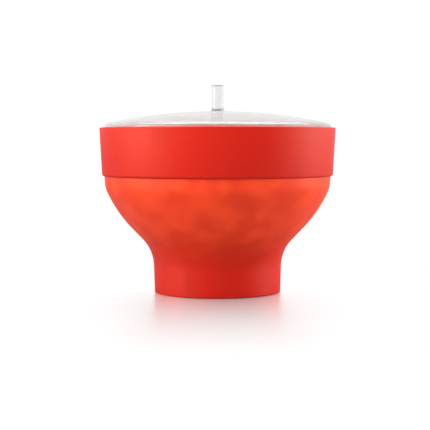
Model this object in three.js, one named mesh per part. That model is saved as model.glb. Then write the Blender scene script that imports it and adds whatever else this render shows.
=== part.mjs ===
// A collapsible microwave popcorn maker: a soft silicone bowl on a narrow foot, with a clear drop-in lid.
// Every piece is a surface of revolution about the vertical axis.
// Millimetres, +Z up, origin at the centre of the foot's underside.
//
// The bowl is one silicone moulding. It folds by rolling its thin wall down round the foot, so it is
// built here as the zones that move apart in that fold: foot cup, neck bend, three rings of the thin
// wall, shoulder bend and rim band. The rings are cut along vertical cylinders, so they can slide past
// each other as the wall goes down.

import * as THREE from "three";

// ---- Driving dimensions ----

// Foot and neck: a short, thick-walled cup with a slight draft, hollowed a little underneath.
const FOOT_RADIUS = 53.6;
const NECK_RADIUS = 54.3;
const NECK_TOP = 22.6;
const FOOT_CORNER = 1;
const FOOT_RING_INNER = 45;
const FOOT_RECESS = 1.2;
const FLOOR_TOP = 4.6;
const FLOOR_FILLET = 5;
const FOOT_WALL = 3.4;

// Thin folding wall: its outer line is a chain of tangent arcs, given as radius and turn in degrees.
// A positive turn leans outwards.
const WALL = 2.2;
const NECK_BEND = { radius: 34, turn: 42 };
const SLOPE_LENGTH = 13.5;
const BELLY = { radius: 108, turn: -19.4 };
const SHOULDER = { radius: 24, turn: -20.6 };

// Zones of the folding wall: it is cut at these radii, with a running gap between neighbours.
const FOLD_CUTS = [62, 71, 80, 89];
const CUT_GAP = 0.3;

// Rim band: the thick collar that stiffens the mouth and carries the lid on a ledge.
const BAND_BOTTOM = 98.6;
const BAND_CORNER = 2.4;
const BAND_BOTTOM_RADIUS = 97.8;
const BAND_INNER_RADIUS = 93.7;
const RIM_RADIUS = 100;
const RIM_TOP = 139.5;
const RIM_ROUND = 0.9;
const LIP = 2.4;
const LEDGE_TOP = 133;

// Lid: a clear shallow dome with a rounded shoulder and a skirt that stands just above the ledge.
const LID_RADIUS = 97;
const LID_SHELL = 2;
const LID_FOOT = LEDGE_TOP + 0.2;
const DOME_TOP = 153.4;
const DOME_RADIUS = 445;
const LID_SHOULDER = 6;

// Pull: a clear peg on a round lens-shaped foot plate. The plate is bonded into a dished seat in the top
// of the dome, with the thickness of the bond between them.
const PULL_TOP = 175.6;
const PULL_FOOT_RADIUS = 5.2;
const PULL_TIP_RADIUS = 5;
const PULL_ROUND = 1;
const PULL_FILLET = 2;
const PLATE_RADIUS = 22;
const PLATE_EDGE = 1.2;
const PLATE_MIDDLE = 3.5;
const BOND = 0.2;
const SEAT_RADIUS = 22.3;
const SEAT_SHELL = 1.8;

// Facets round the axis, and steps along the curved stretches of the outlines.
const FACETS = 48;
const PULL_FACETS = 24;
const NECK_STEPS = 6;
const WALL_STEPS = 4;
const LID_SHOULDER_STEPS = 5;
const DOME_STEPS = 5;
const DISH_STEPS = 4;
const CORNER_STEPS = 3;

const deg = THREE.MathUtils.degToRad;
const point = (r, z) => new THREE.Vector2(r, z);

// ---- Outlines ----

// A line drawn in the half plane (r, z) from a start point, by straight stretches and tangent arcs.
// The heading is measured from straight up, and a positive turn leans outwards.
class Outline {
  constructor(start, heading) {
    this.points = [start];
    this.heading = heading;
  }

  end() {
    return this.points[this.points.length - 1];
  }

  line(length) {
    const { x, y } = this.end();
    this.points.push(point(x + length * Math.sin(this.heading), y + length * Math.cos(this.heading)));
    return this;
  }

  arc(radius, turn, steps) {
    const { x, y } = this.end();
    const reach = Math.sign(turn) * radius;
    const centre = point(x + reach * Math.cos(this.heading), y - reach * Math.sin(this.heading));
    for (let i = 1; i <= steps; i++) {
      const h = this.heading + (turn * i) / steps;
      this.points.push(point(centre.x - reach * Math.cos(h), centre.y + reach * Math.sin(h)));
    }
    this.heading += turn;
    return this;
  }

  lineUpTo(z) {
    return this.line((z - this.end().y) / Math.cos(this.heading));
  }
}

// A rounded corner from one point to another, where lines through them would meet at the middle one.
function corner(from, at, to) {
  return new THREE.QuadraticBezierCurve(from, at, to).getPoints(CORNER_STEPS);
}

// The folding wall's outer line (inset 0) or a line that far inside it, from the neck to the band.
function wallLine(inset) {
  const draft = Math.atan2(NECK_RADIUS - FOOT_RADIUS, NECK_TOP);
  const start = point(NECK_RADIUS - inset * Math.cos(draft), NECK_TOP + inset * Math.sin(draft));
  const line = new Outline(start, draft)
    .arc(NECK_BEND.radius + inset, deg(NECK_BEND.turn), NECK_STEPS)
    .line(SLOPE_LENGTH)
    .arc(BELLY.radius - inset, deg(BELLY.turn), WALL_STEPS)
    .arc(SHOULDER.radius - inset, deg(SHOULDER.turn), WALL_STEPS)
    .lineUpTo(BAND_BOTTOM);
  line.points[0].y = NECK_TOP;
  return line.points;
}

// The part of an outline between two radii, with points worked out where it crosses them.
function between(points, low, high) {
  const inside = points.filter((p) => p.x > low && p.x < high);
  const crossing = (r) => {
    const i = points.findIndex((p, k) => k > 0 && points[k - 1].x <= r && p.x > r);
    if (i < 0) return [];
    const [a, b] = [points[i - 1], points[i]];
    return [point(r, a.y + ((b.y - a.y) * (r - a.x)) / (b.x - a.x))];
  };
  return [...crossing(low), ...inside, ...crossing(high)];
}

// The height at a radius of the dome's outer surface, or of one that far inside it.
function domeHeight(r, inset = 0) {
  return DOME_TOP - DOME_RADIUS + Math.sqrt((DOME_RADIUS - inset) ** 2 - r ** 2);
}

// The underside of the pull's foot plate, which is a shallow dish, or a line that far below it: from the
// axis out to a radius. The plate is thickest on the axis and thins to its edge.
function dishLine(drop, radius) {
  const bottom = DOME_TOP - PLATE_MIDDLE;
  const rise = domeHeight(PLATE_RADIUS) - PLATE_EDGE - bottom;
  const dishRadius = (PLATE_RADIUS ** 2 + rise ** 2) / (2 * rise);
  const line = [];
  for (let i = 0; i <= DISH_STEPS; i++) {
    const r = (radius * i) / DISH_STEPS;
    line.push(point(r, bottom - drop + dishRadius - Math.sqrt(dishRadius ** 2 - r ** 2)));
  }
  return line;
}

// The lid's outer line (inset 0) or a line that far inside it: skirt, rounded shoulder, then the dome
// as far in as the given radius. The shoulder's arc is tangent to the skirt and to the dome.
function lidLine(inset, innermost) {
  const centreRadius = LID_RADIUS - LID_SHOULDER;
  const lean = Math.asin(centreRadius / (DOME_RADIUS - LID_SHOULDER));
  const centre = point(centreRadius, domeHeight(centreRadius, LID_SHOULDER));
  const line = new Outline(point(LID_RADIUS - inset, LID_FOOT), 0)
    .lineUpTo(centre.y)
    .arc(LID_SHOULDER - inset, lean - Math.PI / 2, LID_SHOULDER_STEPS);
  const domeEdge = line.end().x;
  for (let i = 1; i <= DOME_STEPS; i++) {
    const r = THREE.MathUtils.lerp(domeEdge, innermost, i / DOME_STEPS);
    line.points.push(point(r, domeHeight(r, inset)));
  }
  return line.points;
}

// ---- Solids ----

// Turns an outline about the vertical axis. It runs up the outside and comes back down the inside.
function turned(name, outline, material, facets = FACETS) {
  const geometry = new THREE.LatheGeometry(outline, facets);
  geometry.rotateX(Math.PI / 2);
  const mesh = new THREE.Mesh(geometry, material);
  mesh.name = name;
  return mesh;
}

const closed = (outline) => [...outline, outline[0].clone()];

// One zone of the folding wall, between two radii.
function wallZone(name, low, high, material) {
  const outer = between(wallLine(0), low, high);
  const inner = between(wallLine(WALL), low, high);
  return turned(name, closed([...outer, ...inner.reverse()]), material);
}

function footCup(material) {
  const inside = FOOT_RADIUS - FOOT_WALL;
  return turned(
    "foot_cup",
    [
      point(0, FOOT_RECESS),
      point(FOOT_RING_INNER - FOOT_RECESS, FOOT_RECESS),
      point(FOOT_RING_INNER, 0),
      ...corner(
        point(FOOT_RADIUS - FOOT_CORNER, 0),
        point(FOOT_RADIUS, 0),
        point(FOOT_RADIUS, FOOT_CORNER),
      ),
      point(NECK_RADIUS, NECK_TOP),
      point(NECK_RADIUS - WALL, NECK_TOP),
      ...corner(
        point(inside, FLOOR_TOP + FLOOR_FILLET),
        point(inside, FLOOR_TOP),
        point(inside - FLOOR_FILLET, FLOOR_TOP),
      ),
      point(0, FLOOR_TOP),
    ],
    material,
  );
}

function rimBand(material) {
  const wallOutside = wallLine(0).pop().x;
  const wallInside = wallLine(WALL).pop().x;
  const lipInside = RIM_RADIUS - LIP;
  return turned(
    "rim_band",
    closed([
      point(wallInside, BAND_BOTTOM),
      ...corner(
        point(wallOutside, BAND_BOTTOM),
        point(BAND_BOTTOM_RADIUS, BAND_BOTTOM),
        point(BAND_BOTTOM_RADIUS, BAND_BOTTOM + BAND_CORNER),
      ),
      ...corner(
        point(RIM_RADIUS, RIM_TOP - RIM_ROUND),
        point(RIM_RADIUS, RIM_TOP),
        point(RIM_RADIUS - RIM_ROUND, RIM_TOP),
      ),
      point(lipInside, RIM_TOP),
      point(lipInside, LEDGE_TOP),
      point(BAND_INNER_RADIUS, LEDGE_TOP),
    ]),
    material,
  );
}

function lidDome(material) {
  const seatBackRadius = SEAT_RADIUS + LID_SHELL;
  const domeStart = seatBackRadius + LID_SHELL;
  return turned(
    "lid_dome",
    [
      ...dishLine(BOND + SEAT_SHELL, seatBackRadius),
      ...lidLine(LID_SHELL, domeStart).reverse(),
      ...lidLine(0, SEAT_RADIUS),
      ...dishLine(BOND, SEAT_RADIUS).reverse(),
    ],
    material,
  );
}

function lidPull(material) {
  const filletRadius = PULL_FOOT_RADIUS + PULL_FILLET;
  return turned(
    "lid_pull",
    [
      ...dishLine(0, PLATE_RADIUS),
      point(PLATE_RADIUS, domeHeight(PLATE_RADIUS)),
      ...corner(
        point(filletRadius, domeHeight(filletRadius)),
        point(PULL_FOOT_RADIUS, domeHeight(PULL_FOOT_RADIUS)),
        point(PULL_FOOT_RADIUS, domeHeight(PULL_FOOT_RADIUS) + PULL_FILLET),
      ),
      ...corner(
        point(PULL_TIP_RADIUS, PULL_TOP - PULL_ROUND),
        point(PULL_TIP_RADIUS, PULL_TOP),
        point(PULL_TIP_RADIUS - PULL_ROUND, PULL_TOP),
      ),
      point(0, PULL_TOP),
    ],
    material,
    PULL_FACETS,
  );
}

// ---- Assembly ----

const redSilicone = new THREE.MeshStandardMaterial({ color: 0xe23a28, roughness: 0.5, metalness: 0 });
const clearPlastic = new THREE.MeshStandardMaterial({
  color: 0xeceeec,
  roughness: 0.12,
  metalness: 0,
  transparent: true,
  opacity: 0.4,
});
const clearSilicone = new THREE.MeshStandardMaterial({
  color: 0xe6eaec,
  roughness: 0.2,
  metalness: 0,
  transparent: true,
  opacity: 0.5,
});

const popcornMaker = new THREE.Group();
const [bendEnd, lowerEnd, middleEnd, upperEnd] = FOLD_CUTS;
const half = CUT_GAP / 2;
popcornMaker.add(
  footCup(redSilicone),
  wallZone("neck_bend", 0, bendEnd - half, redSilicone),
  wallZone("lower_fold_ring", bendEnd + half, lowerEnd - half, redSilicone),
  wallZone("middle_fold_ring", lowerEnd + half, middleEnd - half, redSilicone),
  wallZone("upper_fold_ring", middleEnd + half, upperEnd - half, redSilicone),
  wallZone("shoulder_bend", upperEnd + half, RIM_RADIUS, redSilicone),
  rimBand(redSilicone),
  lidDome(clearPlastic),
  lidPull(clearSilicone),
);

export default popcornMaker;
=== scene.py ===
# %% [markdown]
# # A collapsible popcorn maker
#
# The object is a soft red silicone bowl on a narrow foot, with a clear lid that drops into its rim and a
# clear peg to lift the lid by. It is round, so nearly everything here is one outline turned about the
# vertical axis. The interest is in the finishes: satin silicone that glows a little where the wall is thin,
# and two kinds of clear plastic.
#
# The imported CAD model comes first. It holds the sizes and the bodies that move, and the pieces made here
# stand for its solids without changing any of its measures.

# %% Load the frame
import math
import bpy
import numpy as np
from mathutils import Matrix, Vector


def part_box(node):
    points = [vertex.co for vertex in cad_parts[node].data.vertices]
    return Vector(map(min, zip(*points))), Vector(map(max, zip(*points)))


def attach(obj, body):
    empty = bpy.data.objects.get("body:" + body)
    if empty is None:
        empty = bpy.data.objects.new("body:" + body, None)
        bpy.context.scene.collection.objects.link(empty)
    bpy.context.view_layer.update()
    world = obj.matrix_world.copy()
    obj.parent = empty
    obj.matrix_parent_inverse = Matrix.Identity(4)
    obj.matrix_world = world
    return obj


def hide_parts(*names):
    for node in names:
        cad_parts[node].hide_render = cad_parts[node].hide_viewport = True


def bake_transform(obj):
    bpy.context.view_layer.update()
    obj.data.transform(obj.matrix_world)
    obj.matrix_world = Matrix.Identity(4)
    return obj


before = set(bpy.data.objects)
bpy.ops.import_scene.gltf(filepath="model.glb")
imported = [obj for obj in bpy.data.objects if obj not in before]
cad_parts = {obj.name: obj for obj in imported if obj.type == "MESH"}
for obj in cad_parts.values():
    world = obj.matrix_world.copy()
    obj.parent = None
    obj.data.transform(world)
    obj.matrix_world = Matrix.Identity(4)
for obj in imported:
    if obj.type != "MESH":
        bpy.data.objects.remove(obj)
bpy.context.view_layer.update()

# %% [markdown]
# ## The camera
#
# A long lens stands about a metre away, only just above the table, as is usual for a product. The long lens
# keeps the sides of the foot upright. The camera is a little lower than the rim, so the rim is seen as a thin
# curve that bulges upwards, and the lid shows only as a low pale dome above it.

# %% Camera
CAMERA_DISTANCE = 1.0095
CAMERA_HEIGHT = 0.1273
CAMERA_DOWN = math.radians(3.52)
CAMERA_LEFT = math.radians(0.12)
LENS_MM = 99.2

camera_data = bpy.data.cameras.new("camera")
camera_data.lens = LENS_MM
camera = bpy.data.objects.new("camera", camera_data)
camera.location = (0, -CAMERA_DISTANCE, CAMERA_HEIGHT)
camera.rotation_euler = (math.pi / 2 - CAMERA_DOWN, 0, CAMERA_LEFT)
bpy.context.scene.collection.objects.link(camera)
bpy.context.scene.camera = camera
bpy.context.scene.view_settings.view_transform = "Standard"
print(f"camera: {LENS_MM} mm lens, {1000 * CAMERA_HEIGHT:.0f} mm up, {1000 * CAMERA_DISTANCE:.0f} mm away")

# %% [markdown]
# ## Drawing an outline
#
# A moulding is designed as straight stretches joined by arcs that are tangent to them, because that is what
# a mould cutter can follow and what feels smooth in the hand. So an outline is drawn the same way here: from
# a start point and a heading, stretch by stretch. Each stretch is worked out as a whole array.
#
# Sharp corners don't exist on mouldings either. `rounded` replaces each corner of a polygon by an arc.

# %% Outline helpers
STEP = 0.0012


def trace(start, heading, moves, step=STEP):
    """Points (radius, height) along tangent stretches. The heading is the lean from straight up, outwards
    positive. A line adds length times (sin heading, cos heading). An arc turns the heading evenly: its centre
    lies one radius to the side it turns to, and each point is the centre minus that radius at its heading."""
    stretches = [np.array([start], float)]
    for kind, size, turn in moves:
        r, z = stretches[-1][-1]
        if kind == "line":
            along = np.linspace(0, size, max(2, int(abs(size) / step) + 2))[1:, None]
            stretches.append(np.array([r, z]) + along * np.array([math.sin(heading), math.cos(heading)]))
        else:
            reach = math.copysign(size, turn)
            centre = np.array([r + reach * math.cos(heading), z - reach * math.sin(heading)])
            count = max(6, int(abs(size * turn) / step) + 2)
            h = heading + np.linspace(0, turn, count)[1:]
            stretches.append(centre + reach * np.stack([-np.cos(h), np.sin(h)], axis=1))
            heading += turn
    return np.concatenate(stretches)


def fillet(before, corner, after, radius, count=7):
    """The arc of that radius that is tangent to both sides of a corner. Its centre is on the corner's
    bisector, radius / sin(half the corner's angle) away, and its points turn about that centre."""
    before, corner, after = (np.asarray(p, float) for p in (before, corner, after))
    a = (before - corner) / np.linalg.norm(before - corner)
    b = (after - corner) / np.linalg.norm(after - corner)
    half = math.acos(np.clip(a @ b, -1, 1)) / 2
    centre = corner + (a + b) / np.linalg.norm(a + b) * radius / math.sin(half)
    first = corner + a * radius / math.tan(half) - centre
    last = corner + b * radius / math.tan(half) - centre
    angles = np.linspace(0, math.pi - 2 * half, count)
    side = math.copysign(1, first[0] * last[1] - first[1] * last[0])
    c, s = np.cos(angles), side * np.sin(angles)
    return centre + np.stack([first[0] * c - first[1] * s, first[0] * s + first[1] * c], axis=1)


def rounded(corners):
    """A polygonal outline with its corners rounded. Each entry is (radius, height, rounding), and a
    rounding of 0 keeps the corner."""
    points = [np.array(c[:2], float) for c in corners]
    out = []
    for i, (r, z, rounding) in enumerate(corners):
        if rounding:
            out.append(fillet(points[i - 1], points[i], points[(i + 1) % len(points)], rounding))
        else:
            out.append(points[i][None])
    return np.concatenate(out)


quarter = trace((0.01, 0), 0, [("arc", 0.01, math.pi / 2)])
print("a quarter turn of 10 mm radius runs", np.round(1000 * (quarter[-1] - quarter[0]), 3), "mm out and up")


# %% [markdown]
# ## Turning an outline into a mesh
#
# A lathe would do this in the workshop, and Blender's Screw modifier could do it here. Working out the grid
# directly gives clean quads, exact poles on the axis and outward faces with nothing left to repair.
#
# Each vertex also keeps its place at rest in an attribute. The soft wall changes shape when the bowl is
# folded, and a pattern that reads this attribute stays fixed to the silicone instead of sliding over it.

# %% Lathe helper
AROUND = 224
ON_AXIS = 1e-7


def turned(name, outline, around=AROUND, crease=math.radians(40)):
    """A surface of revolution. Vertex (i, j) is the outline's point i turned through j / around of a full
    turn: x = r cos a, y = r sin a, z = z. An outline that starts and ends on the axis closes there with two
    poles, and any other closes on itself."""
    poles = outline[0, 0] < ON_AXIS
    rings = outline[1:-1] if poles else outline
    angle = np.arange(around) * 2 * math.pi / around
    grid = np.stack(np.broadcast_arrays(
        rings[:, :1] * np.cos(angle), rings[:, :1] * np.sin(angle), rings[:, 1:]), axis=-1)
    place = grid.reshape(-1, 3)
    n = len(rings)
    i, j = np.meshgrid(np.arange(n - 1 if poles else n), np.arange(around), indexing="ij")
    up, on = (i + 1) % n, (j + 1) % around
    faces = np.stack([i * around + j, i * around + on, up * around + on, up * around + j], axis=-1)
    faces = faces.reshape(-1, 4).tolist()
    if poles:
        bottom, top = len(place), len(place) + 1
        ends = [[0, 0, outline[0, 1]], [0, 0, outline[-1, 1]]]
        place = np.concatenate([place, ends])
        j, on = np.arange(around), (np.arange(around) + 1) % around
        last = (n - 1) * around
        faces += np.stack([on, j, np.full(around, bottom)], axis=1).tolist()
        faces += np.stack([last + j, last + on, np.full(around, top)], axis=1).tolist()
    mesh = bpy.data.meshes.new(name)
    mesh.from_pydata(place.tolist(), [], faces)
    mesh.polygons.foreach_set("use_smooth", np.ones(len(mesh.polygons), bool))
    mesh.set_sharp_from_angle(angle=crease)
    rest = mesh.attributes.new("rest_place", "FLOAT_VECTOR", "POINT")
    rest.data.foreach_set("vector", place.astype(np.float32).ravel())
    mesh.update()
    piece = bpy.data.objects.new(name, mesh)
    bpy.context.scene.collection.objects.link(piece)
    size = 1000 * (place.max(0) - place.min(0))
    print(f"{name}: {len(faces)} faces, {size[0]:.1f} x {size[1]:.1f} x {size[2]:.1f} mm")
    return piece


print("one turn of the lathe has", AROUND, "steps of", round(360 / AROUND, 2), "degrees")


# %% [markdown]
# ## The silicone bowl's wall
#
# The real bowl is one moulding. Its foot is a thick cup, and above it the wall is only about 2 mm thick so
# that it can roll down round the foot. The line is: a nearly upright foot, a concave bend outwards, a short
# straight slope, a long convex belly and a tighter shoulder that ends upright under the band.
#
# The inside line is the same chain of arcs moved in by the wall's thickness: a bend that is concave from
# outside gets a larger radius and the others a smaller one.

# %% Wall outline and mesh
foot_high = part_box("foot_cup")[1]
band_low, band_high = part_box("rim_band")
NECK_RADIUS, NECK_TOP = foot_high.x, foot_high.z
BAND_BOTTOM, RIM_TOP, RIM_RADIUS = band_low.z, band_high.z, band_high.x
FOOT_DRAFT = 0.0007
FOOT_RADIUS = NECK_RADIUS - FOOT_DRAFT
FOOT_CORNER = 0.001
FOOT_WALL = 0.0034
FLOOR_TOP = 0.0046
FLOOR_FILLET = 0.005
RECESS_RADIUS, RECESS_DEPTH = 0.045, 0.0012
RECESS_ROUND, RING_ROUND = 0.001, 0.0006
WALL = 0.0022
NECK_BEND, NECK_TURN = 0.034, math.radians(42)
SLOPE = 0.0135
BELLY, BELLY_TURN = 0.108, math.radians(-19.4)
SHOULDER, SHOULDER_TURN = 0.024, math.radians(-20.6)
draft = math.atan2(NECK_RADIUS - FOOT_RADIUS, NECK_TOP)


def wall_line(inset):
    """The folding wall's outline from the neck up to the band, moved in from the outer surface by inset."""
    start = (NECK_RADIUS - inset * math.cos(draft), NECK_TOP + inset * math.sin(draft))
    line = trace(start, draft, [
        ("arc", NECK_BEND + inset, NECK_TURN),
        ("line", SLOPE, 0),
        ("arc", BELLY - inset, BELLY_TURN),
        ("arc", SHOULDER - inset, SHOULDER_TURN),
    ])
    lean = draft + NECK_TURN + BELLY_TURN + SHOULDER_TURN
    rest = trace(line[-1], lean, [("line", (BAND_BOTTOM - line[-1, 1]) / math.cos(lean), 0)])
    return np.concatenate([line, rest[1:]])


def ramp(a, b):
    """Points from a to b, one step apart, without b itself."""
    a, b = np.asarray(a, float), np.asarray(b, float)
    count = max(1, int(np.linalg.norm(b - a) / STEP))
    return a + (b - a) * np.arange(count)[:, None] / count


outer, inner = wall_line(0), wall_line(WALL)
foot_inside = FOOT_RADIUS - FOOT_WALL
recess_corner = (RECESS_RADIUS - RECESS_ROUND, RECESS_DEPTH)
underside = fillet((0, RECESS_DEPTH), recess_corner, (RECESS_RADIUS, 0), RECESS_ROUND)
ring_edge = fillet(recess_corner, (RECESS_RADIUS, 0), (FOOT_RADIUS, 0), RING_ROUND)
foot_edge = fillet((RECESS_RADIUS, 0), (FOOT_RADIUS, 0), (NECK_RADIUS, NECK_TOP), FOOT_CORNER)
cup_fillet = fillet(inner[0], (foot_inside, FLOOR_TOP), (0, FLOOR_TOP), FLOOR_FILLET, 12)
bowl_outline = np.concatenate([
    ramp((0, RECESS_DEPTH), underside[0]), underside,
    ring_edge, ramp(ring_edge[-1], foot_edge[0])[1:],
    foot_edge, ramp(foot_edge[-1], outer[0])[1:],
    outer, inner[::-1],
    ramp(inner[0], cup_fillet[0])[1:], cup_fillet,
    ramp(cup_fillet[-1], (0, FLOOR_TOP))[1:], [(0, FLOOR_TOP)],
])
bowl_wall = turned("bowl_wall", bowl_outline)

# %% [markdown]
# ## The rim band
#
# The band is the thick collar that keeps the mouth round. Its outside leans out slightly so that it leaves
# the mould. Under it the thin wall is set back by a couple of millimetres, and the shadow of that step is
# the fine dark line round the bowl. Inside the top there is a ledge for the lid, and outside the ledge a thin
# lip.

# %% Band
BAND_LOWER_RADIUS = 0.0978
BAND_ROUND = 0.0021
LIP = 0.0024
LIP_OUTSIDE_ROUND, LIP_INSIDE_ROUND = 0.0008, 0.0006
LEDGE_CORNER, LEDGE_ROUND = 0.0005, 0.0006
LID_GAP = 0.0002
LEDGE_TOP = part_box("lid_dome")[0].z - LID_GAP
BAND_INSIDE = 0.0937
lip_inside = RIM_RADIUS - LIP
band_outline = rounded([
    (inner[-1, 0], BAND_BOTTOM, 0),
    (BAND_LOWER_RADIUS, BAND_BOTTOM, BAND_ROUND),
    (RIM_RADIUS, RIM_TOP, LIP_OUTSIDE_ROUND),
    (lip_inside, RIM_TOP, LIP_INSIDE_ROUND),
    (lip_inside, LEDGE_TOP, LEDGE_CORNER),
    (BAND_INSIDE, LEDGE_TOP, LEDGE_ROUND),
])
rim_collar = turned("rim_collar", band_outline)

# %% [markdown]
# ## The lid
#
# The lid is a clear injection moulding, 2 mm thick: a very shallow dome, a rounded shoulder and a short
# upright skirt. It stands on the ledge inside the lip. In the middle there is a shallow dish that the peg's
# foot plate is bonded into. The two arcs are joined where they are tangent: the shoulder's centre lies on
# the dome's radius, one shoulder radius inside the dome.

# %% Lid dome
lid_low, lid_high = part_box("lid_dome")
pull_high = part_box("lid_pull")[1]
LID_RADIUS, LID_FOOT = lid_high.x, lid_low.z
LID_SHELL = 0.002
LID_SHOULDER = 0.006
DOME_RADIUS = 0.445
DOME_TOP = 0.1534
PLATE_RADIUS = pull_high.x
PLATE_EDGE, PLATE_MIDDLE = 0.0012, 0.0035
BOND, SEAT_SHELL = 0.0002, 0.0018
SEAT_GAP = 0.0003
SEAT_RADIUS = PLATE_RADIUS + SEAT_GAP
SEAT_ROUND, SEAT_BACK_ROUND = 0.0003, 0.001
LID_STEP = 0.0006


def dome_height(r, inset=0.0):
    """Height at radius r of the dome, or of a surface that far inside it:
    z = top - R + sqrt((R - inset)^2 - r^2)."""
    return DOME_TOP - DOME_RADIUS + np.sqrt((DOME_RADIUS - inset) ** 2 - np.square(r))


def dish_line(drop, radius, count=24):
    """The foot plate's underside from the axis out, moved down by drop. It is the sphere z = bottom + R -
    sqrt(R^2 - r^2) that is one plate thickness below the dome on the axis and another at the plate's edge."""
    bottom = DOME_TOP - PLATE_MIDDLE
    rise = float(dome_height(PLATE_RADIUS)) - PLATE_EDGE - bottom
    bend = (PLATE_RADIUS ** 2 + rise ** 2) / (2 * rise)
    r = np.linspace(0, radius, count)
    return np.stack([r, bottom - drop + bend - np.sqrt(bend ** 2 - r ** 2)], axis=1)


def lid_line(inset, innermost):
    """Skirt, shoulder and dome, from the lid's foot in to a radius, moved in by inset."""
    centre = LID_RADIUS - LID_SHOULDER
    lean = math.asin(centre / (DOME_RADIUS - LID_SHOULDER))
    skirt = float(dome_height(centre, LID_SHOULDER)) - LID_FOOT
    line = trace((LID_RADIUS - inset, LID_FOOT), 0, [
        ("line", skirt, 0),
        ("arc", LID_SHOULDER - inset, lean - math.pi / 2),
    ], step=LID_STEP)
    r = np.linspace(line[-1, 0], innermost, 70)[1:]
    return np.concatenate([line, np.stack([r, dome_height(r, inset)], axis=1)])


seat_back_radius = SEAT_RADIUS + LID_SHELL
lid_outer = lid_line(0, SEAT_RADIUS + SEAT_ROUND + 0.0001)
lid_inner = lid_line(LID_SHELL, seat_back_radius + LID_SHELL)
seat_back, seat_face = dish_line(BOND + SEAT_SHELL, seat_back_radius), dish_line(BOND, SEAT_RADIUS)
seat_edge = (SEAT_RADIUS, float(dome_height(SEAT_RADIUS)))
lid_outline = np.concatenate([
    seat_back[:-1], fillet(seat_back[-2], seat_back[-1], lid_inner[-1], SEAT_BACK_ROUND),
    lid_inner[::-1], lid_outer[:-1],
    fillet(lid_outer[-2], seat_edge, seat_face[-1], SEAT_ROUND),
    fillet(seat_edge, seat_face[-1], seat_face[-2], SEAT_ROUND),
    seat_face[-2::-1],
])
lid_dome = turned("lid_clear_dome", lid_outline)

# %% [markdown]
# ## The peg
#
# The peg is a small clear moulding of its own: a stem on a round foot plate that is shaped like a lens. The
# plate fills the dish in the lid, flush with the dome. The stem has a slight draft, a soft fillet at its foot
# and a rounded edge at its tip.

# %% Peg
PEG_TOP = pull_high.z
PEG_FOOT_RADIUS, PEG_TIP_RADIUS = 0.0052, 0.005
PEG_FILLET, PEG_TIP_ROUND, PLATE_ROUND = 0.0022, 0.0009, 0.0003
PEG_AROUND = 96
plate_under = dish_line(0, PLATE_RADIUS)
plate_r = np.linspace(PLATE_RADIUS, PEG_FOOT_RADIUS + PEG_FILLET + 0.0002, 20)
plate_top = np.stack([plate_r, dome_height(plate_r)], axis=1)
stem_foot = (PEG_FOOT_RADIUS, float(dome_height(PEG_FOOT_RADIUS)))
stem_fillet = fillet(plate_top[-1], stem_foot, (PEG_TIP_RADIUS, PEG_TOP), PEG_FILLET, 10)
tip = fillet(stem_foot, (PEG_TIP_RADIUS, PEG_TOP), (0, PEG_TOP), PEG_TIP_ROUND, 8)
peg = turned("lid_peg", np.concatenate([
    plate_under[:-1],
    fillet(plate_under[-2], plate_under[-1], plate_top[0], PLATE_ROUND),
    fillet(plate_under[-1], plate_top[0], plate_top[1], PLATE_ROUND),
    plate_top[1:-1], stem_fillet, ramp(stem_fillet[-1], tip[0])[1:], tip, [(0, PEG_TOP)],
]), around=PEG_AROUND)

# %% [markdown]
# ## Shared effects as node groups
#
# Two effects are used by more than one finish, so each is built once as a node group with named inputs. The
# few lines that put them into a material are functions, because both kinds of finish need the same ones.
#
# `moulded_skin` is what a mould leaves on any plastic or rubber: a very fine grain, and a slow wander of the
# polish over a few centimetres. `clouds` is a soft mask of pale patches: in the clear plastics it is haze,
# for material that isn't equally clear all through, and on the thin red wall it places painted light that
# comes through from inside the bowl. A group puts out only masks and numbers, and the shader itself stays in
# the material.

# %% Node helpers and groups
WANDER_SCALE = 38.0
GRAIN_DEPTH = 0.0001


def add(tree, kind, values=(), **settings):
    """A node with its settings, and its inputs' values or links by name."""
    node = tree.nodes.new(kind)
    for key, value in settings.items():
        setattr(node, key, value)
    for key, value in dict(values).items():
        if isinstance(value, bpy.types.NodeSocket):
            tree.links.new(value, node.inputs[key])
        else:
            node.inputs[key].default_value = value
    return node


def new_group(name, inputs, outputs):
    """An empty shader node group. Inputs are (name, socket type, value) and outputs (name, socket type)."""
    group = bpy.data.node_groups.new(name, "ShaderNodeTree")
    for label, kind, value in inputs:
        socket = group.interface.new_socket(label, in_out="INPUT", socket_type=kind)
        if value is not None:
            socket.default_value = value
    for label, kind in outputs:
        group.interface.new_socket(label, in_out="OUTPUT", socket_type=kind)
    return group, add(group, "NodeGroupInput").outputs, add(group, "NodeGroupOutput").inputs


skin_group, given, put = new_group("moulded_skin", [
    ("Place", "NodeSocketVector", None),
    ("Grain Size", "NodeSocketFloat", 0.0006),
    ("Roughness", "NodeSocketFloat", 0.4),
    ("Wander", "NodeSocketFloat", 0.08),
], [("Roughness", "NodeSocketFloat"), ("Grain", "NodeSocketFloat")])
fineness = add(skin_group, "ShaderNodeMath", {0: 1.0, 1: given["Grain Size"]}, operation="DIVIDE")
grain = add(skin_group, "ShaderNodeTexNoise",
            {"Vector": given["Place"], "Scale": fineness.outputs[0], "Detail": 2.0})
wander = add(skin_group, "ShaderNodeTexNoise",
             {"Vector": given["Place"], "Scale": WANDER_SCALE, "Detail": 3.0})
centred = add(skin_group, "ShaderNodeMath", {0: wander.outputs["Fac"], 1: 0.5}, operation="SUBTRACT")
polish = add(skin_group, "ShaderNodeMath",
             {0: centred.outputs[0], 1: given["Wander"], 2: given["Roughness"]}, operation="MULTIPLY_ADD")
skin_group.links.new(polish.outputs[0], put["Roughness"])
skin_group.links.new(grain.outputs["Fac"], put["Grain"])

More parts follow.
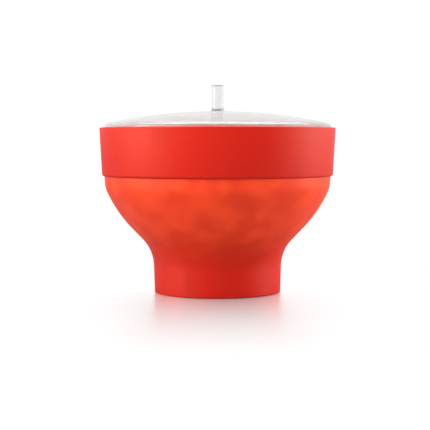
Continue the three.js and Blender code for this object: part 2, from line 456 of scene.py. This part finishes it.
cloud_group, given, put = new_group("clouds", [
    ("Place", "NodeSocketVector", None),
    ("Patch Size", "NodeSocketFloat", 0.02),
    ("From", "NodeSocketFloat", 0.4),
    ("To", "NodeSocketFloat", 0.6),
], [("Mask", "NodeSocketFloat")])
spread = add(cloud_group, "ShaderNodeMath", {0: 1.0, 1: given["Patch Size"]}, operation="DIVIDE")
puffs = add(cloud_group, "ShaderNodeTexNoise",
            {"Vector": given["Place"], "Scale": spread.outputs[0], "Detail": 2.5, "Roughness": 0.45})
mask = add(cloud_group, "ShaderNodeMapRange",
           {"Value": puffs.outputs["Fac"], "From Min": given["From"], "From Max": given["To"]},
           interpolation_type="SMOOTHSTEP")
cloud_group.links.new(mask.outputs[0], put["Mask"])


def finish_nodes(material, skin_values, cloud_values, shift=(0, 0, 0)):
    """The material's tree and shader, with its rest place, a skin group and a clouds group that reads the
    place moved by shift."""
    material.use_nodes = True
    tree = material.node_tree
    place = add(tree, "ShaderNodeAttribute", attribute_name="rest_place").outputs["Vector"]
    skin = add(tree, "ShaderNodeGroup", {"Place": place}, node_tree=skin_group)
    shifted = add(tree, "ShaderNodeVectorMath", {0: place, 1: shift}, operation="ADD").outputs[0]
    clouds = add(tree, "ShaderNodeGroup", {"Place": shifted}, node_tree=cloud_group)
    for group, values in ((skin, skin_values), (clouds, cloud_values)):
        for socket, value in values.items():
            group.inputs[socket].default_value = value
    return tree, tree.nodes["Principled BSDF"], place, skin, clouds


def two_colours(tree, share, low, high):
    """A colour that goes from low to high by share."""
    return add(tree, "ShaderNodeMix", {"Factor": share, "A": (*low, 1), "B": (*high, 1)},
               data_type="RGBA").outputs["Result"]


def finish_surface(tree, shader, skin, strength):
    """Gives the shader the skin's roughness, and its grain as a bump of that strength."""
    bump = add(tree, "ShaderNodeBump",
               {"Height": skin.outputs["Grain"], "Strength": strength, "Distance": GRAIN_DEPTH})
    tree.links.new(skin.outputs["Roughness"], shader.inputs["Roughness"])
    tree.links.new(bump.outputs[0], shader.inputs["Normal"])


print("node groups:", [g.name for g in bpy.data.node_groups])

# %% [markdown]
# ## Red silicone, thick and thin
#
# Silicone has an eggshell finish: the highlights are wide and soft, and there is no clear reflection. Light
# goes a little way into it, which softens the shading. The band is thick and opaque. The wall is thin, so
# light from inside the bowl comes through it and warms it towards orange, in soft patches, and that fades
# out down the neck where the wall is thicker.
#
# The light that comes through could be traced, with the wall as a translucent sheet, but light that has to
# find its way out of a closed bowl is slow to render evenly. So it is painted instead: in soft patches, and
# less down the neck, the base colour goes paler and more orange, and a faint emission, a painted glow,
# follows the same patches. The highlight is slightly yellow, which keeps a white lamp's reflection from
# turning the red pink.
#
# The same function makes both, and the amount of painted glow is what differs. Its height limits are places
# on the bowl, read from the rest attribute. Moving that place before the patches are made only chooses which
# part of the endless pattern the bowl gets.

# %% Silicone
SKIN_SOCKETS = {"IOR": 1.46, "Specular Tint": (1.0, 0.95, 0.70, 1.0), "Subsurface Weight": 0.15,
                "Subsurface Scale": 0.004, "Subsurface Radius": (1.0, 0.25, 0.12)}
# GLOW is the colour of the painted glow: an emission that stands for light coming through the thin wall.
DARK, GLOW = (0, 0, 0), (0.27, 0.014, 0.002)
CLOUD_SHIFT = (-0.161, 0.193, 0.178)
PATCH_DEPTH = 0.38
SILICONE_GRAIN = 0.12


def silicone(name, deep, pale, glow, roughness, glow_from, glow_to):
    """Satin silicone, with painted light in it. Its share of glow is the softened cloud mask, times how far
    the height has risen from glow_from to glow_to, times glow. By that share the base colour goes from deep
    to pale, which is painted light coming through the wall, and the emission, a painted glow, from none to
    GLOW."""
    material = bpy.data.materials.new(name)
    tree, shader, place, skin, clouds = finish_nodes(
        material, {"Grain Size": 0.0007, "Roughness": roughness, "Wander": 0.10},
        {"Patch Size": 0.016, "From": 0.33, "To": 0.68}, CLOUD_SHIFT)
    height = add(tree, "ShaderNodeSeparateXYZ", {0: place}).outputs["Z"]
    risen = add(tree, "ShaderNodeMapRange", {"Value": height, "From Min": glow_from, "From Max": glow_to},
                interpolation_type="SMOOTHSTEP")
    patchy = add(tree, "ShaderNodeMath", {0: clouds.outputs["Mask"], 1: PATCH_DEPTH, 2: 1 - PATCH_DEPTH},
                 operation="MULTIPLY_ADD")
    share = add(tree, "ShaderNodeMath", {0: patchy.outputs[0], 1: risen.outputs[0]}, operation="MULTIPLY")
    share = add(tree, "ShaderNodeMath", {0: share.outputs[0], 1: glow}, operation="MULTIPLY").outputs[0]
    # Painted light: where the share is high the base colour turns paler and more orange and the emission
    # glows, for light from inside the bowl coming through the thin wall.
    tree.links.new(two_colours(tree, share, deep, pale), shader.inputs["Base Color"])
    tree.links.new(two_colours(tree, share, DARK, GLOW), shader.inputs["Emission Color"])
    shader.inputs["Emission Strength"].default_value = 1.0 if glow else 0.0
    finish_surface(tree, shader, skin, SILICONE_GRAIN)
    for socket, value in SKIN_SOCKETS.items():
        shader.inputs[socket].default_value = value
    return material


DEEP_RED = (0.78, 0.008, 0.002)
# The paler red is painted light: the colour the thin wall is given where light from inside comes through it.
PAINTED_GLOW_RED = (0.92, 0.065, 0.018)
band_silicone = silicone("band_silicone", DEEP_RED, PAINTED_GLOW_RED, 0.0, 0.5, BAND_BOTTOM, RIM_TOP)
wall_silicone = silicone("wall_silicone", DEEP_RED, PAINTED_GLOW_RED, 1.0, 0.52, 0.022, 0.06)
bowl_wall.data.materials.append(wall_silicone)
rim_collar.data.materials.append(band_silicone)
print("silicones:", wall_silicone.name, "and", band_silicone.name)

# %% [markdown]
# ## Clear plastic
#
# The lid and the peg are both clear, and both are a little milky, as moulded food plastic is. A part that
# is really clear is hard to see on a white background. What draws it is its edges, where it bends the view
# of something darker towards the eye, and the faint haze in it.

# %% Clear plastics
HAZE_TINT = 0.96
PLASTIC_GRAIN = 0.005


def clear_plastic(name, tint, roughness, clearness, ior, haze_size):
    """Milky clear plastic: Principled with high transmission, a skin group for its roughness and grain, and
    faint clouds in its tint."""
    material = bpy.data.materials.new(name)
    tree, shader, _, skin, clouds = finish_nodes(
        material, {"Grain Size": 0.0012, "Roughness": roughness, "Wander": 0.06}, {"Patch Size": haze_size})
    hazy = tuple(HAZE_TINT * c for c in tint)
    tree.links.new(two_colours(tree, clouds.outputs["Mask"], tint, hazy), shader.inputs["Base Color"])
    finish_surface(tree, shader, skin, PLASTIC_GRAIN)
    shader.inputs["IOR"].default_value = ior
    shader.inputs["Transmission Weight"].default_value = clearness
    return material


lid_plastic = clear_plastic("lid_plastic", (0.90, 0.90, 0.88), 0.15, 0.75, 1.49, 0.03)
peg_plastic = clear_plastic("peg_plastic", (0.90, 0.92, 0.93), 0.10, 0.85, 1.46, 0.006)
lid_dome.data.materials.append(lid_plastic)
peg.data.materials.append(peg_plastic)
print("plastics:", lid_plastic.name, "and", peg_plastic.name)

# %% [markdown]
# ## What moves with what
#
# The band rides on the rim's body, and the lid and its peg on the lid's. The wall is soft: its foot stays
# with the base, its top goes down with the rim, and the stretch between has to fold.
#
# Graded by height, the inside of the wall would travel further than the outside next to it and pass through
# it. Graded by radius, the inside and the outside at one radius travel together, and the wall keeps its
# thickness as it rolls down. So a weight is worked out by radius for each vertex of the wall, 0 within
# FOLD_INNER and 1 beyond FOLD_OUTER; here it is only counted, not written onto the mesh.

# %% Ride, blend and replace
FOLD_INNER, FOLD_OUTER = 0.0595, 0.0915

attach(rim_collar, "rim")
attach(lid_dome, "lid")
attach(peg, "lid")
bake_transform(bowl_wall)
place = np.empty(len(bowl_wall.data.vertices) * 3, np.float32)
bowl_wall.data.vertices.foreach_get("co", place)
radius = np.hypot(place[0::3], place[1::3])
t = np.clip((radius - FOLD_INNER) / (FOLD_OUTER - FOLD_INNER), 0, 1)

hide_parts("foot_cup", "neck_bend", "lower_fold_ring", "middle_fold_ring", "upper_fold_ring",
            "shoulder_bend")
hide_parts("rim_band")
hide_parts("lid_dome")
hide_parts("lid_pull")
bending = np.count_nonzero((t > 0) & (t < 1))
print(f"wall: {bending} of {len(t)} vertices bend, between radius {FOLD_INNER} and {FOLD_OUTER} m")

# %% [markdown]
# ## Table and light
#
# The bowl stands on a white polished table in a white room. The table mirrors the foot at a low angle, and
# hardly at all when it is seen from above, which is what the Fresnel node says of any polished plastic. The
# mirror image fades out away from the foot, as on acrylic that is not perfectly flat. The share that is
# mirrored is taken off the table's own white, and it is larger in red than in the other colours, so that the
# image of the red foot stays closer to grey. Far from the bowl the table is as bright as the room, so no
# horizon shows.
#
# Light bounced up from a real white table would flatten the underside of the bowl. Studios stop that with
# grey card just out of view, and here the table is simply greyer for light that isn't going to the camera.

# %% Table
HALF_TABLE = 6.0
MIRROR_GAIN, MIRROR_ENDS, MIRROR_FADE = 1.6, 0.33, 1.3
MIRROR_TINT = (1.3, 1.0, 1.0)
MIRROR_ROUGHNESS = 0.3
TABLE_WHITE, TABLE_GREY = 1.02, 0.28

corners = HALF_TABLE * np.array([(-1, -1, 0), (1, -1, 0), (1, 1, 0), (-1, 1, 0)], float)
table_mesh = bpy.data.meshes.new("table")
table_mesh.from_pydata(corners.tolist(), [], [(0, 1, 2, 3)])
table = bpy.data.objects.new("table", table_mesh)
bpy.context.scene.collection.objects.link(table)
table_paint = bpy.data.materials.new("table_paint")
table_paint.use_nodes = True
tree = table_paint.node_tree
tree.nodes.remove(tree.nodes["Principled BSDF"])
spot = add(tree, "ShaderNodeTexCoord").outputs["Object"]
away = add(tree, "ShaderNodeVectorMath", {0: spot}, operation="LENGTH").outputs["Value"]
near = add(tree, "ShaderNodeMapRange", {"Value": away, "From Min": FOOT_RADIUS, "From Max": MIRROR_ENDS,
                                        "To Min": 1.0, "To Max": 0.0})
faded = add(tree, "ShaderNodeMath", {0: near.outputs[0], 1: MIRROR_FADE}, operation="POWER")
fresnel = add(tree, "ShaderNodeFresnel", {"IOR": 1.5})
share = add(tree, "ShaderNodeMath", {0: faded.outputs[0], 1: fresnel.outputs[0]}, operation="MULTIPLY")
share = add(tree, "ShaderNodeMath", {0: share.outputs[0], 1: MIRROR_GAIN}, operation="MULTIPLY")
mirrored = add(tree, "ShaderNodeVectorMath", {0: MIRROR_TINT}, operation="SCALE")
tree.links.new(share.outputs[0], mirrored.inputs["Scale"])
rest = add(tree, "ShaderNodeVectorMath", {0: (TABLE_WHITE,) * 3, 1: mirrored.outputs[0]},
           operation="SUBTRACT")
white = add(tree, "ShaderNodeEmission", {"Color": rest.outputs[0], "Strength": 1.0})
mirror = add(tree, "ShaderNodeBsdfGlossy", {"Color": mirrored.outputs[0], "Roughness": MIRROR_ROUGHNESS})
grey = add(tree, "ShaderNodeBsdfDiffuse", {"Color": (*(TABLE_GREY,) * 3, 1)})
polished = add(tree, "ShaderNodeAddShader", {0: white.outputs[0], 1: mirror.outputs[0]})
seen = add(tree, "ShaderNodeLightPath").outputs["Is Camera Ray"]
whole = add(tree, "ShaderNodeMixShader", {0: seen, 1: grey.outputs[0], 2: polished.outputs[0]})
tree.links.new(whole.outputs[0], tree.nodes["Material Output"].inputs["Surface"])
table_mesh.materials.append(table_paint)
print(f"table: {2 * HALF_TABLE:.0f} m square, mirror image ends {MIRROR_ENDS} m from the middle")

# %% [markdown]
# A large soft box stands on each side, and the middle of the bowl is left the deepest red. In a studio the
# shine of such a box and the light it sheds are set apart with polarisers and flags. Here they are simply two
# lamps. The strips only shine: they give the wide highlight left on the band and the bright right edge. The
# keys only shed light, and shape the body. Two fills lift what the keys leave: one high on the left, one low
# in front. A lamp above and behind lights the lid.
#
# The room behind the bowl is pale, and a little darker on the right, which is what the clear parts show
# along one edge. Shiny surfaces also see a white band round the horizon, so that the table stays white from
# every side.

# %% Light
AIM_HEIGHT = 0.08
BOX, TOP_BOX = (1.0, 1.2), (1.2, 1.2)
BOX_DISTANCE, BOX_HEIGHT = 1.25, 0.5
WARM, NEUTRAL = (1.0, 0.98, 0.90), (1.0, 1.0, 1.0)
ROOM_SEEN, ROOM_DARKEST = 1.05, 0.07
ROOM_BEHIND = {"From Min": -0.3, "From Max": 0.5}
ROOM_RIGHT = {"From Min": 0.70, "From Max": 0.40, "To Min": 0.3, "To Max": 1.0}
HORIZON = {"From Min": 0.42, "From Max": 0.22}


def soft_light(name, brightness, size, turn, distance, height, tint):
    """A rectangular area light that faces the bowl. turn is its place round the bowl in degrees from the
    front, to the right positive. Its power is brightness times pi times its area."""
    lamp = bpy.data.lights.new(name, "AREA")
    lamp.shape, lamp.size, lamp.size_y = "RECTANGLE", size[0], size[1]
    lamp.energy, lamp.color = brightness * math.pi * size[0] * size[1], tint
    light = bpy.data.objects.new(name, lamp)
    a = math.radians(turn)
    light.location = (distance * math.sin(a), -distance * math.cos(a), height)
    light.rotation_euler = (math.atan2(distance, height - AIM_HEIGHT), 0, a)
    light.visible_camera = False
    bpy.context.scene.collection.objects.link(light)
    return light


for name, brightness, turn in (("left_strip", 4.0, -71), ("right_strip", 1.8, 96), ("edge_strip", 0.3, 120)):
    strip = soft_light(name, brightness, BOX, turn, BOX_DISTANCE, BOX_HEIGHT, WARM)
    strip.visible_diffuse = strip.visible_transmission = False
for name, brightness, turn, distance, height in (
        ("left_key", 3.0, -71, BOX_DISTANCE, BOX_HEIGHT), ("right_key", 5.0, 98, BOX_DISTANCE, BOX_HEIGHT),
        ("high_fill", 4.4, -35, 0.8, 1.1), ("low_fill", 0.8, 0, 1.4, 0.5)):
    key = soft_light(name, brightness, BOX, turn, distance, height, NEUTRAL)
    key.visible_glossy = key.visible_transmission = False
soft_light("top_light", 1.7, TOP_BOX, 170, 0.5, 1.3, NEUTRAL)

world = bpy.data.worlds.new("white_room")
world.use_nodes = True
bpy.context.scene.world = world
tree = world.node_tree
background = tree.nodes["Background"]
direction = add(tree, "ShaderNodeTexCoord").outputs["Generated"]
split = add(tree, "ShaderNodeSeparateXYZ", {0: direction})
behind = add(tree, "ShaderNodeMapRange", {"Value": split.outputs["Y"], **ROOM_BEHIND},
             interpolation_type="SMOOTHSTEP")
leftness = add(tree, "ShaderNodeMapRange", {"Value": split.outputs["X"], **ROOM_RIGHT},
               interpolation_type="SMOOTHSTEP")
wall_light = add(tree, "ShaderNodeMath", {0: behind.outputs[0], 1: leftness.outputs[0]}, operation="MULTIPLY")
low = add(tree, "ShaderNodeMapRange", {"Value": split.outputs["Z"], **HORIZON},
          interpolation_type="SMOOTHSTEP")
rays = add(tree, "ShaderNodeLightPath").outputs
horizon = add(tree, "ShaderNodeMath", {0: low.outputs[0], 1: rays["Is Glossy Ray"]}, operation="MULTIPLY")
room = add(tree, "ShaderNodeMath", {0: wall_light.outputs[0], 1: horizon.outputs[0]}, operation="MAXIMUM")
room = add(tree, "ShaderNodeMath", {0: room.outputs[0], 1: ROOM_DARKEST}, operation="MAXIMUM")
seen = rays["Is Camera Ray"]
strength = add(tree, "ShaderNodeMix", {"Factor": seen, "A": room.outputs[0], "B": ROOM_SEEN})
tree.links.new(strength.outputs["Result"], background.inputs["Strength"])
background.inputs["Color"].default_value = (1, 1, 1, 1)
